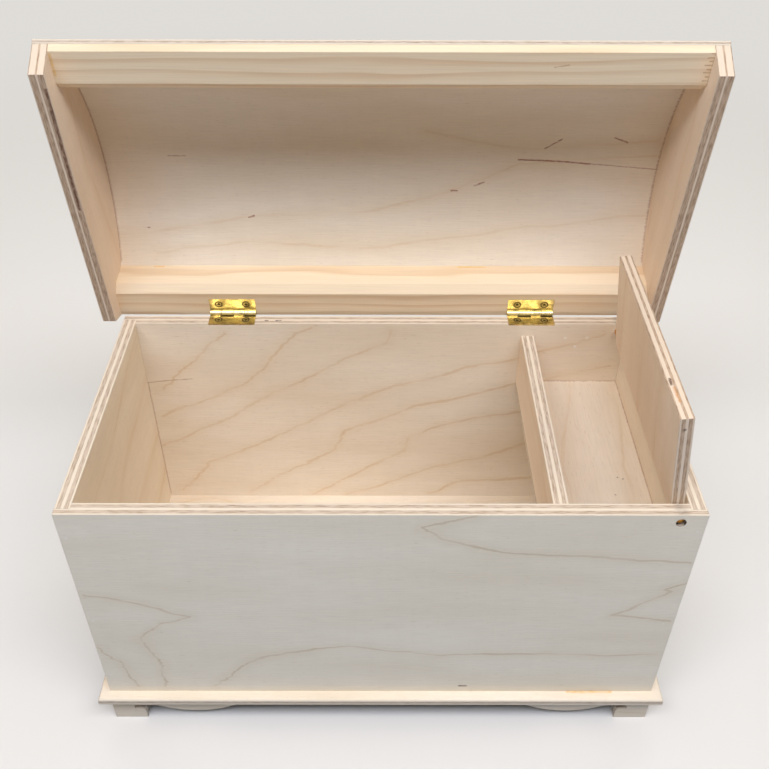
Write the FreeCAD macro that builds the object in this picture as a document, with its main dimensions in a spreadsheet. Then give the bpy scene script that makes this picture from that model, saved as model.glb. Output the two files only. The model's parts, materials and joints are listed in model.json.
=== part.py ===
import FreeCAD, Part
import os
import Sketcher

# A small blanket chest of birch plywood with a domed lid and a till, in millimetres.
# +Z is up, the front faces -Y, and the origin is on the floor under the middle of the box.
# The lid and the till lid stand open, and each is drawn shut about its own hinge axis.

DRIVING = {
    # box
    "box_width": 285.0,
    "box_depth": 148.0,
    "panel_height": 136.4,
    "wall": 7.0,
    "overrun": 2.0,
    # base
    "board_thick": 4.0,
    "board_front_reach": 5.6,
    "board_side_reach": 5.4,
    "board_round": 1.2,
    "apron_set_back": 4.6,
    "apron_strip": 5.0,
    "foot_height": 19.6,
    "foot_width": 17.2,
    "foot_post": 5.6,
    "foot_round": 2.4,
    "hook_flat": 1.6,
    "hook_round": 1.8,
    "arch_end": 20.3,
    "belly_place": 44.3,
    "belly_low": 6.5,
    "belly_radius": 44.0,
    # till
    "till_width": 57.8,
    "till_depth": 40.2,
    "till_floor_thick": 3.2,
    "till_lid_length": 58.3,
    "till_lid_thick": 6.0,
    "till_pivot_drop": 4.7,
    "till_pivot_inset": 4.4,
    "till_rest_gap": 0.4,
    "till_open_angle": 83.0,
    "till_end_gap": 0.8,
    "till_heel_gap": 0.3,
    "pin_radius": 1.9,
    "pin_bite": 10.0,
    "pin_sink": 1.8,
    "mouth_radius": 2.3,
    "mouth_depth": 2.4,
    "snug_gap": 0.03,
    "running_gap": 0.06,
    # lid
    "lid_side_gap": 3.0,
    "lid_front_reach": 4.0,
    "lid_back_reach": 1.5,
    "lid_open_angle": 82.0,
    "lid_gap": 0.4,
    "lid_lean_share": 0.466,
    "end_hang": 10.8,
    "sheet_thick": 2.0,
    "dome_rise": 31.7,
    "rail_width": 19.4,
    "rail_chamfer": 4.0,
    "rail_face": 3.6,
    "rail_pass_gap": 0.6,
    # hinges
    "hinge_place": 82.7,
    "hinge_length": 25.4,
    "hinge_reach": 3.0,
    "leaf_width": 10.0,
    "leaf_thick": 0.9,
    "knuckle_radius": 2.3,
    "knuckle_gap": 0.2,
    "hinge_pin_radius": 1.1,
    "screw_spread": 15.0,
    "screw_place": 6.2,
    "screw_radius": 0.8,
    "screw_head_radius": 1.8,
    "screw_length": 5.5,
    "slot_length": 2.2,
    "slot_width": 0.45,
    "slot_depth": 0.45,
}
KNUCKLES = 4

doc = FreeCAD.newDocument("blanket_chest")
sheet = doc.addObject("Spreadsheet::Sheet", "Sizes")
for row, (alias, number) in enumerate(DRIVING.items(), start=1):
    sheet.set(f"A{row}", alias)
    sheet.set(f"B{row}", str(number))
    sheet.setAlias(f"B{row}", alias)
doc.recompute()


class Size:
    """A value that carries its formula, so that what is drawn with it is bound to the sheet."""

    def __init__(self, text, value):
        self.text = text
        self.value = value

    def __add__(self, other):
        other = sized(other)
        return Size(f"({self.text} + {other.text})", self.value + other.value)

    def __sub__(self, other):
        other = sized(other)
        return Size(f"({self.text} - {other.text})", self.value - other.value)

    def __mul__(self, other):
        other = sized(other)
        return Size(f"({self.text} * {other.text})", self.value * other.value)

    def __truediv__(self, other):
        other = sized(other)
        return Size(f"({self.text} / {other.text})", self.value / other.value)

    def __neg__(self):
        return Size(f"(-{self.text})", -self.value)

    def root(self):
        return Size(f"sqrt({self.text})", self.value ** 0.5)


def sized(number):
    """A plain count or share as a Size."""
    return number if isinstance(number, Size) else Size(str(number), number)


def size(alias):
    return Size(f"Sizes.{alias}", float(sheet.get(alias)))


ZERO = sized(0)
wall = size("wall")
overrun = size("overrun")

# Levels and faces of the box
front = -size("box_depth") / 2
back = size("box_depth") / 2
right = size("box_width") / 2
left = -right
board_top = size("foot_height") + size("board_thick")
rim = board_top + size("panel_height")
rabbet = wall / 2

# Hinge axis of the lid, and the lid's outline about it; its ends pass outside the box's
axis_y = back + size("hinge_reach")
axis_z = rim + size("lid_gap") / 2
lid_width = size("box_width") + (wall + size("lid_side_gap")) * 2
lid_front = -(size("box_depth") + size("hinge_reach") + size("lid_front_reach"))
lid_back = size("lid_back_reach")
rail_floor = size("lid_gap") / 2
end_floor = rail_floor - size("end_hang")
lean = size("lid_lean_share")
edge_level = rail_floor + size("rail_face")
edge_reach = size("rail_face") * lean
hang_reach = size("end_hang") * lean
dome_middle = (lid_front + lid_back) / 2
dome_half = lid_back - dome_middle + edge_reach
dome_radius = (dome_half * dome_half + size("dome_rise") * size("dome_rise")) / (size("dome_rise") * 2)
dome_centre = edge_level + size("dome_rise") - dome_radius
lid_rest = FreeCAD.Rotation(FreeCAD.Vector(1, 0, 0), -size("lid_open_angle").value)

# Pivot axis of the till lid
till_left = right - wall - size("till_width")
pivot_x = right - wall - size("till_pivot_inset")
pivot_z = rim - size("till_pivot_drop")
till_rest = FreeCAD.Rotation(FreeCAD.Vector(0, 1, 0), size("till_open_angle").value)
till_lid_front = front + wall + size("till_end_gap")
till_lid_back = axis_y + lid_back - size("rail_width") - size("rail_pass_gap")

nodes = []


def finish(part, name):
    """Mark a shape as a piece of the chest under its own name."""
    part.Label = name
    nodes.append(part)
    return part


def bind(part, **sizes):
    """Bind properties to formulas; x, y and z stand for the place."""
    for name, value in sizes.items():
        path = f"Placement.Base.{name}" if name in ("x", "y", "z") else name
        part.setExpression(path, sized(value).text)
    return part


def box(corner, opposite):
    """A block between two opposite corners, in either order."""
    spans = [sorted(pair, key=lambda place: place.value) for pair in zip(corner, opposite)]
    block = doc.addObject("Part::Box", "Block")
    for axis, side, (low, high) in zip("xyz", ("Length", "Width", "Height"), spans):
        bind(block, **{axis: low, side: high - low})
    return block


def rod(start, length, radius, towards):
    """A round bar from a point, along a unit direction."""
    bar = doc.addObject("Part::Cylinder", "Bar")
    bar.Placement.Rotation = FreeCAD.Rotation(FreeCAD.Vector(0, 0, 1), FreeCAD.Vector(*towards))
    bind(bar, x=start[0], y=start[1], z=start[2])
    return bind(bar, Radius=radius, Height=length)


def cone(start, length, near, far, towards):
    """A tapered bar from a point, along a unit direction."""
    taper = doc.addObject("Part::Cone", "Taper")
    taper.Placement.Rotation = FreeCAD.Rotation(FreeCAD.Vector(0, 0, 1), FreeCAD.Vector(*towards))
    bind(taper, x=start[0], y=start[1], z=start[2])
    return bind(taper, Radius1=near, Radius2=far, Height=length)


def group(parts):
    """Separate solids held as one shape."""
    held = doc.addObject("Part::Compound", "Group")
    held.Links = parts
    return held


def joined(parts):
    whole = doc.addObject("Part::MultiFuse", "Joined")
    whole.Shapes = parts
    whole.Refine = True
    return whole


def cut(base, tools):
    rest = doc.addObject("Part::Cut", "Cut")
    rest.Base = base
    rest.Tool = joined(tools) if len(tools) > 1 else tools[0]
    return rest


def arc_middle(start, end, radius, bulge):
    """The middle of the short arc between two points; bulge is 1 to the left of the way, -1 to the right."""
    chord = end - start
    half = chord.Length / 2
    rise = radius - max(radius * radius - half * half, 0) ** 0.5
    side = FreeCAD.Vector(-chord.y, chord.x, 0).normalize()
    return start + chord / 2 + side * (rise * bulge)


def outline(body, plane, points, arcs):
    """A closed sketch through points, with arcs {side: (radius, bulge)}; every corner and radius is bound."""
    sketch = body.newObject("Sketcher::SketchObject", "Outline")
    support = [f for f in body.Origin.OriginFeatures if f.Role == plane][0]
    sketch.AttachmentSupport = (support, [""])
    sketch.MapMode = "FlatFace"
    spots = [FreeCAD.Vector(x.value, y.value, 0) for x, y in points]
    ends = []
    for side, start in enumerate(spots):
        end = spots[(side + 1) % len(spots)]
        if side in arcs:
            radius, bulge = arcs[side]
            middle = arc_middle(start, end, radius.value, bulge)
            index = sketch.addGeometry(Part.Arc(start, middle, end))
            first = sketch.getPoint(index, 1)
            turned = first.distanceToPoint(start) > first.distanceToPoint(end)
            ends.append((index, 2, 1) if turned else (index, 1, 2))
        else:
            index = sketch.addGeometry(Part.LineSegment(start, end))
            ends.append((index, 1, 2))
    for side, (index, first, last) in enumerate(ends):
        following = ends[(side + 1) % len(ends)]
        sketch.addConstraint(Sketcher.Constraint("Coincident", index, last, following[0], following[1]))
    for side, (x, y) in enumerate(points):
        index, first, last = ends[side]
        for kind, value, axis in (("DistanceX", x, -2), ("DistanceY", y, -1)):
            if value is ZERO:
                sketch.addConstraint(Sketcher.Constraint("PointOnObject", index, first, axis))
            else:
                number = sketch.addConstraint(Sketcher.Constraint(kind, -1, 1, index, first, value.value))
                sketch.setExpression(f"Constraints[{number}]", value.text)
    for side, (radius, bulge) in arcs.items():
        number = sketch.addConstraint(Sketcher.Constraint("Radius", ends[side][0], radius.value))
        sketch.setExpression(f"Constraints[{number}]", radius.text)
    return sketch


def plate(plane, points, arcs, thick, backwards=False):
    """A flat piece of one outline, with its thickness square to the plane."""
    body = doc.addObject("PartDesign::Body", "Plate")
    sketch = outline(body, plane, points, arcs)
    pad = body.newObject("PartDesign::Pad", "Thickness")
    pad.Profile = sketch
    pad.Reversed = backwards
    pad.setExpression("Length", sized(thick).text)
    body.Tip = pad
    return body


# Box: front and back are rabbeted at their ends, and the end panels stand in the rabbets


def rabbeted_panel(outer, inwards):
    """A panel behind its outer face, and the cuts for the end panels; inwards is 1 or -1 along y."""
    panel = box((left, outer, board_top), (right, outer + wall * inwards, rim))
    step = outer + rabbet * inwards
    beyond = outer + (wall + overrun) * inwards
    steps = []
    for x_low, x_high in ((left - overrun, left + wall), (right - wall, right + overrun)):
        steps.append(box((x_low, step, board_top - overrun), (x_high, beyond, rim + overrun)))
    return panel, steps


def pin_hole(outer, inwards):
    """The cuts for a till pin, through a panel from outside, with a wider mouth."""
    start = (pivot_x, outer - overrun * inwards, pivot_z)
    bore_radius = size("pin_radius") + size("snug_gap")
    return [
        rod(start, wall + overrun * 2, bore_radius, (0, inwards, 0)),
        rod(start, size("mouth_depth") + overrun, size("mouth_radius"), (0, inwards, 0)),
    ]


hinge_sides = (-1, 1)
screw_sides = (-1, 1)
leaf_low = rim - size("leaf_thick")
pilot_radius = size("screw_radius") + size("snug_gap")
screw_y = axis_y - size("screw_place")


def screw_spots(hinge):
    middle = size("hinge_place") * hinge
    return [middle + size("screw_spread") / 2 * side for side in screw_sides]


panel, steps = rabbeted_panel(front, 1)
finish(cut(panel, steps + pin_hole(front, 1)), "front_panel")

panel, steps = rabbeted_panel(back, -1)
tools = steps + pin_hole(back, -1)
for hinge in hinge_sides:
    middle = size("hinge_place") * hinge
    half = size("hinge_length") / 2 + size("snug_gap")
    far_corner = (middle + half, back + overrun, rim + overrun)
    tools.append(box((middle - half, back - wall - overrun, leaf_low), far_corner))
    for x in screw_spots(hinge):
        tools.append(rod((x, screw_y, rim), size("screw_length"), pilot_radius, (0, 0, -1)))
finish(cut(panel, tools), "back_panel")

for name, x_low, x_high in (
    ("left_end_panel", left, left + wall),
    ("right_end_panel", right - wall, right),
):
    finish(box((x_low, front + rabbet, board_top), (x_high, back - rabbet, rim)), name)

# Base: one thin board is floor and ledge, on an apron whose ends are sawn to bracket feet

board_left = left - size("board_side_reach")
board_right = right + size("board_side_reach")
board_front = front - size("board_front_reach")

body = doc.addObject("PartDesign::Body", "Board")
corners = [(board_left, board_front), (board_right, board_front), (board_right, back), (board_left, back)]
pad = body.newObject("PartDesign::Pad", "Thickness")
pad.Profile = outline(body, "XY_Plane", corners, {})
pad.setExpression("Length", size("board_thick").text)
doc.recompute()
top_edges = []
for number, edge in enumerate(pad.Shape.Edges, start=1):
    reach = edge.BoundBox
    if reach.ZMin > size("board_thick").value / 2 and reach.YMin < 0:
        top_edges.append(f"Edge{number}")
eased = body.newObject("PartDesign::Fillet", "EasedEdges")
eased.Base = (pad, top_edges)
eased.setExpression("Radius", size("board_round").text)
body.Tip = eased
bind(body, z=size("foot_height"))
finish(body, "base_board")

strip_level = size("foot_height") - size("apron_strip")
hook_level = size("foot_post") + size("foot_round")
arch_level = hook_level + size("hook_round") * 2
scroll_run = size("belly_place") - size("arch_end")
scroll_slope = (arch_level - size("belly_low")) / scroll_run
scroll_sine = scroll_slope * 2 / (scroll_slope * scroll_slope + 1)
scroll_versine = scroll_slope * scroll_slope * 2 / (scroll_slope * scroll_slope + 1)
arch_radius = scroll_run / scroll_sine - size("belly_radius")
belly_centre = size("belly_low") + size("belly_radius")
belly_drop = belly_centre - strip_level
belly_half = (size("belly_radius") * size("belly_radius") - belly_drop * belly_drop).root()


def scroll(start):
    """The sawn lower edge of one foot: (distance from the outer corner, height), and its arcs."""
    notch = size("foot_width") - size("foot_round") - size("hook_flat")
    points = [
        (start, ZERO),
        (size("foot_width"), ZERO),
        (size("foot_width"), size("foot_post")),
        (size("foot_width") - size("foot_round"), hook_level),
        (notch, hook_level),
        (notch - size("hook_round"), hook_level + size("hook_round")),
        (notch, arch_level),
        (size("arch_end"), arch_level),
        (size("arch_end") + arch_radius * scroll_sine, arch_level - arch_radius * scroll_versine),
        (size("belly_place") + belly_half, strip_level),
    ]
    arcs = {
        2: (size("foot_round"), -1),
        4: (size("hook_round"), 1),
        5: (size("hook_round"), 1),
        7: (arch_radius, 1),
        8: (size("belly_radius"), -1),
    }
    return points, arcs


def apron(plane, low, high, start, backwards=False):
    """A board on edge from low to high, sawn to a foot at each end; start is what a corner piece takes up."""
    points, arcs = scroll(start)
    last = len(points) * 2 - 1
    near = [(low + reach, level) for reach, level in points]
    far = [(high - reach, level) for reach, level in reversed(points)]
    top = [(high - start, size("foot_height")), (low + start, size("foot_height"))]
    for side, (radius, bulge) in list(arcs.items()):
        arcs[last - 1 - side] = (radius, bulge)
    return plate(plane, near + far + top, arcs, wall, backwards)


apron_front = board_front + size("apron_set_back")
apron_side = board_right - size("apron_set_back")
front_apron = apron("XZ_Plane", -apron_side, apron_side, ZERO, backwards=True)
finish(bind(front_apron, y=apron_front), "front_apron")
back_apron = apron("XZ_Plane", -apron_side, apron_side, ZERO, backwards=True)
finish(bind(back_apron, y=back - wall), "back_apron")
for name, x in (("left_apron", -apron_side), ("right_apron", apron_side - wall)):
    finish(bind(apron("YZ_Plane", apron_front, back, wall), x=x), name)

# Till: a side board on a thin floor, and a lid that turns on two brass pins

till_floor_top = rim - size("till_depth")
inside_front = front + wall
inside_back = back - wall
floor_low = till_floor_top - size("till_floor_thick")
finish(box((till_left, inside_front, floor_low), (right - wall, inside_back, till_floor_top)), "till_floor")
till_half = size("till_lid_thick") / 2
till_side_top = pivot_z - till_half - size("till_rest_gap")
far_corner = (till_left + wall, inside_back, till_side_top)
finish(box((till_left, inside_front, till_floor_top), far_corner), "till_side")

heel_reach = size("till_pivot_inset") - size("till_heel_gap")
heel_centre = heel_reach - till_half
tip_reach = size("till_lid_length") - heel_reach
till_outline = [
    (-tip_reach, -till_half),
    (heel_centre, -till_half),
    (heel_reach, ZERO),
    (heel_centre, till_half),
    (-tip_reach, till_half),
]
heel = (till_half, -1)
lid_length = till_lid_back - till_lid_front
leaf = plate("XZ_Plane", till_outline, {1: heel, 2: heel}, lid_length, backwards=True)
bore_radius = size("pin_radius") + size("running_gap")
bore_depth = size("pin_bite") + size("running_gap")
front_bore = rod((ZERO, -overrun, ZERO), bore_depth + overrun, bore_radius, (0, 1, 0))
back_bore = rod((ZERO, lid_length + overrun, ZERO), bore_depth + overrun, bore_radius, (0, -1, 0))
till_lid = finish(cut(leaf, [front_bore, back_bore]), "till_lid")
till_lid.Placement.Rotation = till_rest
bind(till_lid, x=pivot_x, y=till_lid_front, z=pivot_z)

for name, start, end in (
    ("till_front_pin", front + size("pin_sink"), till_lid_front + size("pin_bite")),
    ("till_back_pin", till_lid_back - size("pin_bite"), back - size("pin_sink")),
):
    finish(rod((pivot_x, start, pivot_z), end - start, size("pin_radius"), (0, 1, 0)), name)

# Lid: drawn shut about the hinge axis, y to the back and z up, then turned open


def open_lid(part, x, name):
    """Set a lid piece at its place across the chest, with the lid open."""
    part.Placement.Rotation = lid_rest
    return finish(bind(part, x=x, y=axis_y, z=axis_z), name)


back_edge = (lid_back + edge_reach, edge_level)
front_edge = (lid_front - edge_reach, edge_level)
end_outline = [
    (lid_front + hang_reach, end_floor),
    (lid_back - hang_reach, end_floor),
    back_edge,
    front_edge,
]
lid_left = -lid_width / 2
for name, x in (("lid_left_end", lid_left), ("lid_right_end", -lid_left - wall)):
    open_lid(plate("YZ_Plane", end_outline, {2: (dome_radius, -1)}, wall), x, name)

outer_radius = dome_radius + size("sheet_thick")
spread = outer_radius / dome_radius
outer_level = dome_centre + (edge_level - dome_centre) * spread
sheet_outline = [
    back_edge,
    front_edge,
    (dome_middle - dome_half * spread, outer_level),
    (dome_middle + dome_half * spread, outer_level),
]
sheet_arcs = {0: (dome_radius, -1), 2: (outer_radius, 1)}
open_lid(plate("YZ_Plane", sheet_outline, sheet_arcs, lid_width), lid_left, "lid_top_sheet")

rail_run = lid_back - dome_middle - size("rail_width")
rail_top = dome_centre + (dome_radius * dome_radius - rail_run * rail_run).root()
rail_length = lid_width - wall * 2


def rail_outline(place):
    """A square strip under one edge of the dome; place turns a distance from that edge into y."""
    return [
        (place(ZERO), rail_floor),
        (place(size("rail_width") - size("rail_chamfer")), rail_floor),
        (place(size("rail_width")), rail_floor + size("rail_chamfer")),
        (place(size("rail_width")), rail_top),
        (place(-edge_reach), edge_level),
    ]


front_rail = rail_outline(lambda reach: lid_front + reach)
back_rail = rail_outline(lambda reach: lid_back - reach)
open_lid(plate("YZ_Plane", front_rail, {3: (dome_radius, 1)}, rail_length), lid_left + wall, "lid_front_rail")

rail = plate("YZ_Plane", back_rail, {3: (dome_radius, -1)}, rail_length)
tools = []
knuckle_room = size("knuckle_radius") + size("knuckle_gap")
for hinge in hinge_sides:
    middle = rail_length / 2 + size("hinge_place") * hinge
    half = size("hinge_length") / 2 + size("snug_gap")
    leaf_end = size("leaf_width") + size("snug_gap")
    tools.append(rod((middle - half, ZERO, ZERO), half * 2, knuckle_room, (1, 0, 0)))
    far_corner = (middle + half, ZERO, rail_floor + size("leaf_thick"))
    tools.append(box((middle - half, -leaf_end, -overrun), far_corner))
    for side in screw_sides:
        x = middle + size("screw_spread") / 2 * side
        start = (x, -size("screw_place"), ZERO)
        tools.append(rod(start, rail_floor + size("screw_length"), pilot_radius, (0, 0, 1)))
open_lid(cut(rail, tools), lid_left + wall, "lid_back_rail")

# Hinges: brass butts, each with a box leaf, a lid leaf, a pin and two screws to a leaf


def hinge_leaf(above, first):
    """A leaf about the hinge axis; above is 1 for the lid's leaf and -1 for the box's."""
    near = size("lid_gap") / 2 * above
    far = near + size("leaf_thick") * above
    half = size("hinge_length") / 2
    pitch = size("hinge_length") / KNUCKLES
    solids = [box((-half, -size("leaf_width"), near), (half, -knuckle_room, far))]
    for number in range(first, KNUCKLES, 2):
        start = pitch * number - half + size("knuckle_gap") / 2
        length = pitch - size("knuckle_gap")
        solids.append(box((start, -knuckle_room - overrun, near), (start + length, ZERO, far)))
        solids.append(rod((start, ZERO, ZERO), length, size("knuckle_radius"), (1, 0, 0)))
    holes = [rod((-half - overrun, ZERO, ZERO), half * 2 + overrun * 2, pin_room[above], (1, 0, 0))]
    for side in screw_sides:
        x = size("screw_spread") / 2 * side
        sunk = (x, -size("screw_place"), near)
        gap = size("snug_gap")
        wide = size("screw_head_radius") + gap
        narrow = size("screw_radius") + gap
        holes.append(cone(sunk, size("leaf_thick"), wide, narrow, (0, 0, above)))
    return cut(joined(solids), holes)


def screw(x, above):
    """A countersunk screw with a cross recess, its head flush with the leaf; above as for the leaf."""
    near = size("lid_gap") / 2 * above
    spot = (x, -size("screw_place"), near)
    head = cone(spot, size("leaf_thick"), size("screw_head_radius"), size("screw_radius"), (0, 0, above))
    shank = rod(spot, size("screw_length"), size("screw_radius"), (0, 0, above))
    deep = near + size("slot_depth") * above
    beyond = near - overrun * above
    long = size("slot_length")
    narrow = size("slot_width")
    slots = []
    for long_x, long_y in ((long, narrow), (narrow, long)):
        start = (x - long_x / 2, spot[1] - long_y / 2, beyond)
        slots.append(box(start, (x + long_x / 2, spot[1] + long_y / 2, deep)))
    return cut(joined([head, shank]), slots)


pin_room = {
    -1: size("hinge_pin_radius") + size("snug_gap"),
    1: size("hinge_pin_radius") + size("running_gap"),
}
for side_name, hinge in (("left", -1), ("right", 1)):
    middle = size("hinge_place") * hinge
    box_leaf = hinge_leaf(-1, 0)
    finish(bind(box_leaf, x=middle, y=axis_y, z=axis_z), f"{side_name}_hinge_box_leaf")
    open_lid(hinge_leaf(1, 1), middle, f"{side_name}_hinge_lid_leaf")
    half = size("hinge_length") / 2
    pin = rod((middle - half, axis_y, axis_z), half * 2, size("hinge_pin_radius"), (1, 0, 0))
    finish(pin, f"{side_name}_hinge_pin")

screw_places = [x for hinge in hinge_sides for x in screw_spots(hinge)]
box_screws = group([screw(x, -1) for x in screw_places])
finish(bind(box_screws, y=axis_y, z=axis_z), "hinge_box_screws")
open_lid(group([screw(x, 1) for x in screw_places]), ZERO, "hinge_lid_screws")

doc.recompute()

# Every object has to be sound before any piece is written
faults = [o.Name for o in doc.Objects if "Invalid" in o.State or "Error" in o.State]
for node in nodes:
    if node.Shape.isNull() or not node.Shape.isValid():
        faults.append(node.Label)
if faults:
    raise RuntimeError(f"not sound: {faults}")

os.makedirs("parts", exist_ok=True)
for node in nodes:
    node.Shape.exportStep(f"parts/{node.Label}.step")
    print(node.Label, len(node.Shape.Solids), round(node.Shape.Volume))
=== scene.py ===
import json
import math

import bpy
from mathutils import Matrix, Vector


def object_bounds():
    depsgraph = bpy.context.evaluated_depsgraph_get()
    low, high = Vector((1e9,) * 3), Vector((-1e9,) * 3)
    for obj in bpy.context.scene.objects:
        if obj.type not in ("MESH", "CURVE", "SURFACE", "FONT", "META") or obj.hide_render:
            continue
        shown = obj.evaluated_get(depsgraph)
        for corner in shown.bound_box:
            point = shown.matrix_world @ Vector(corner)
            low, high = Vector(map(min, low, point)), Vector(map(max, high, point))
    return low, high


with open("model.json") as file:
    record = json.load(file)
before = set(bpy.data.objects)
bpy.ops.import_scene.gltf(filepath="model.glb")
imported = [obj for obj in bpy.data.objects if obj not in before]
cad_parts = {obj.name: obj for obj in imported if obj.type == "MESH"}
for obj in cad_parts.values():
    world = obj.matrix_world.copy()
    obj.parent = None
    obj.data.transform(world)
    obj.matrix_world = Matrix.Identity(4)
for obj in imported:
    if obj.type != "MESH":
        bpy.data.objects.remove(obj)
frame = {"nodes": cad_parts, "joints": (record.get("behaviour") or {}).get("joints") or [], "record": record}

# Dresses the blanket chest: sanded birch plywood, planed pine rails and brass hinges.
# The frame is in metres. Wood patterns are worked out in millimetres on each piece, with its lid shut.

MM = 0.001
CAD_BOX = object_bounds()

JOINTS = {joint["child"]: joint for joint in frame["joints"]}
BODY_OF = {node: body for body, nodes in frame["record"]["behaviour"]["bodies"].items() for node in nodes}

PICTURE = 769                            # pixels on each side of the picture
FOCAL_PIXELS = 921.4
CAMERA_PLACE = (0.6, -345.0, 458.1)      # mm
CAMERA_PITCH = 39.65                     # degrees below the horizon
CAMERA_YAW = 0.16
CAMERA_ROLL = 0.20
SENSOR_WIDTH = 36.0                      # mm
NEAR_CLIP = 0.01                         # m

ARRIS = 0.5                              # mm, how far sandpaper has softened the sharp edges
ARRIS_SAMPLES = 3
CLOUD_RANGE = {"From Min": 0.3, "From Max": 0.7}    # where nearly all values of soft noise lie


def linear(colour):
    """The linear colour of an sRGB hex value."""
    channels = [int(colour[start:start + 2], 16) / 255 for start in (1, 3, 5)]
    return [c / 12.92 if c <= 0.04045 else ((c + 0.055) / 1.055) ** 2.4 for c in channels] + [1.0]


def add(tree, kind, feeds=None, **settings):
    """Add a node; feeds gives each input a value, a socket or a node, whose first output is then used."""
    node = tree.nodes.new(kind if kind.startswith("Node") else "ShaderNode" + kind)
    for name, value in settings.items():
        setattr(node, name, value)
    for name, value in (feeds or {}).items():
        socket = node.inputs[name]
        if isinstance(name, str):
            socket = next(s for s in node.inputs if s.name == name and s.enabled)
        if isinstance(value, bpy.types.Node):
            value = next(s for s in value.outputs if s.enabled)
        if isinstance(value, bpy.types.NodeSocket):
            tree.links.new(value, socket)
        else:
            socket.default_value = value
    return node


def clouds(tree, place, sizes, detail):
    """Soft noise with clouds of the given sizes in mm."""
    scaled = add(tree, "VectorMath", {0: place, 1: [1 / size for size in sizes]}, operation="MULTIPLY")
    return add(tree, "TexNoise", {"Vector": scaled, "Scale": 1.0, "Detail": detail})


def waver(tree, moved, place, sizes, reach):
    """Move a place to and fro by up to the given reach in mm."""
    swing = clouds(tree, place, sizes, 2).outputs["Color"]
    swing = add(tree, "VectorMath", {0: swing, 1: (0.5, 0.5, 0.5)}, operation="SUBTRACT")
    swing = add(tree, "VectorMath", {0: swing, 1: [2 * part for part in reach]}, operation="MULTIPLY")
    return add(tree, "VectorMath", {0: moved, 1: swing}, operation="ADD")


def new_group(name, inputs, outputs):
    """A node group with its sockets; returns the tree and the outputs of its input node."""
    tree = bpy.data.node_groups.new(name, "ShaderNodeTree")
    for direction, sockets in (("INPUT", inputs), ("OUTPUT", outputs)):
        for socket, kind in sockets.items():
            tree.interface.new_socket(socket, in_out=direction, socket_type="NodeSocket" + kind)
    return tree, add(tree, "NodeGroupInput").outputs


def new_material(name):
    material = bpy.data.materials.new(name)
    material.use_nodes = True
    material.node_tree.nodes.clear()
    return material, material.node_tree


def dress(node, material):
    """Give a CAD node its material."""
    slots = frame["nodes"][node].data.materials
    slots.clear()
    slots.append(material)


def shut_spots(node):
    """A node's corners with its lid shut, in mm."""
    turn = Matrix.Identity(4)
    joint = JOINTS.get(BODY_OF[node])
    if joint:
        place = Matrix.Translation(Vector(joint["pos_m"]))
        angle = math.radians(joint["range_deg"][1])
        turn = place @ Matrix.Rotation(angle, 4, Vector(joint["axis"])) @ place.inverted()
    return [turn @ vertex.co / MM for vertex in frame["nodes"][node].data.vertices]


def lowest(spots):
    return [min(spot[axis] for spot in spots) for axis in range(3)]


def highest(spots):
    return [max(spot[axis] for spot in spots) for axis in range(3)]


def shut_place(tree, node, source, origin):
    """Where a point of the piece lies in mm from an origin, or which way it faces, with its lid shut."""
    joint = JOINTS.get(BODY_OF[node])
    place = add(tree, "TexCoord").outputs[source]
    if joint:
        centre = joint["pos_m"] if source == "Object" else (0, 0, 0)
        angle = math.radians(joint["range_deg"][1])
        feeds = {"Vector": place, "Center": centre, "Axis": joint["axis"], "Angle": angle}
        place = add(tree, "VectorRotate", feeds)
    if source == "Object":
        place = add(tree, "VectorMath", {0: place, "Scale": 1 / MM}, operation="SCALE")
        place = add(tree, "VectorMath", {0: place, 1: origin}, operation="SUBTRACT")
    return add(tree, "SeparateXYZ", {0: place}).outputs


# One straight stretch of a line: how far a point lies from it.
# Measure is the way divided by the square of its length.

STRETCH, given = new_group(
    "line_stretch",
    {"Place": "Vector", "Start": "Vector", "Way": "Vector", "Measure": "Vector"},
    {"Distance": "Float"},
)
offset = add(STRETCH, "VectorMath", {0: given["Place"], 1: given["Start"]}, operation="SUBTRACT")
covered = add(STRETCH, "VectorMath", {0: offset, 1: given["Measure"]}, operation="DOT_PRODUCT")
covered = add(STRETCH, "Clamp", {"Value": covered.outputs["Value"]})
nearest = add(STRETCH, "VectorMath", {0: given["Way"], "Scale": covered}, operation="SCALE")
apart = add(STRETCH, "VectorMath", {0: offset, 1: nearest}, operation="DISTANCE")
add(STRETCH, "NodeGroupOutput", {"Distance": apart.outputs["Value"]})


def distance_from(tree, place, lines):
    """Distance in mm from the nearest of some lines.

    Each line is a run of points, and a point by itself is given twice.
    """
    nearest = None
    for line in lines:
        for start, end in zip(line, line[1:]):
            start, end = [Vector((*point, 0)[:3]) for point in (start, end)]
            way = end - start
            measure = way / way.length_squared if way.length else way
            feeds = {"Place": place, "Start": start, "Way": way, "Measure": measure}
            stretch = add(tree, "Group", feeds, node_tree=STRETCH)
            if nearest:
                stretch = add(tree, "Math", {0: nearest, 1: stretch}, operation="MINIMUM")
            nearest = stretch
    return nearest


# Birch veneer, peeled from the log in one sheet and sanded, with no finish.
# The eye sees a smooth pale cream with a faint broad change of tone, hair-fine fibres along the grain
# and a few thin light-brown growth lines that wander over it.

BIRCH = ("#F4E6D2", "#EDDCC4", "#C89414")           # its lighter and deeper tones and its growth lines
COOL_LIT_BIRCH = ("#F3E9D7", "#ECE0CB", "#AE8438")      # a whiter, cooler copy for the front panel: painted cool light
WARM_SHADE_BIRCH = ("#F6E2CC", "#EED6BC", "#C89414")      # a warmer copy for the pieces inside the chest and lid: painted warm bounced light
WARM_SHADE_PIECES = ("lid_left_end", "lid_right_end", "till_lid", "till_side")
# The front panel gets the copy painted with cool light; the lid's ends and the till pieces get the copy
# painted with warm bounced light.
WOODS = {"front_panel": COOL_LIT_BIRCH, **{node: WARM_SHADE_BIRCH for node in WARM_SHADE_PIECES}}
BIRCH_PORE = "#CBB294"

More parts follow.
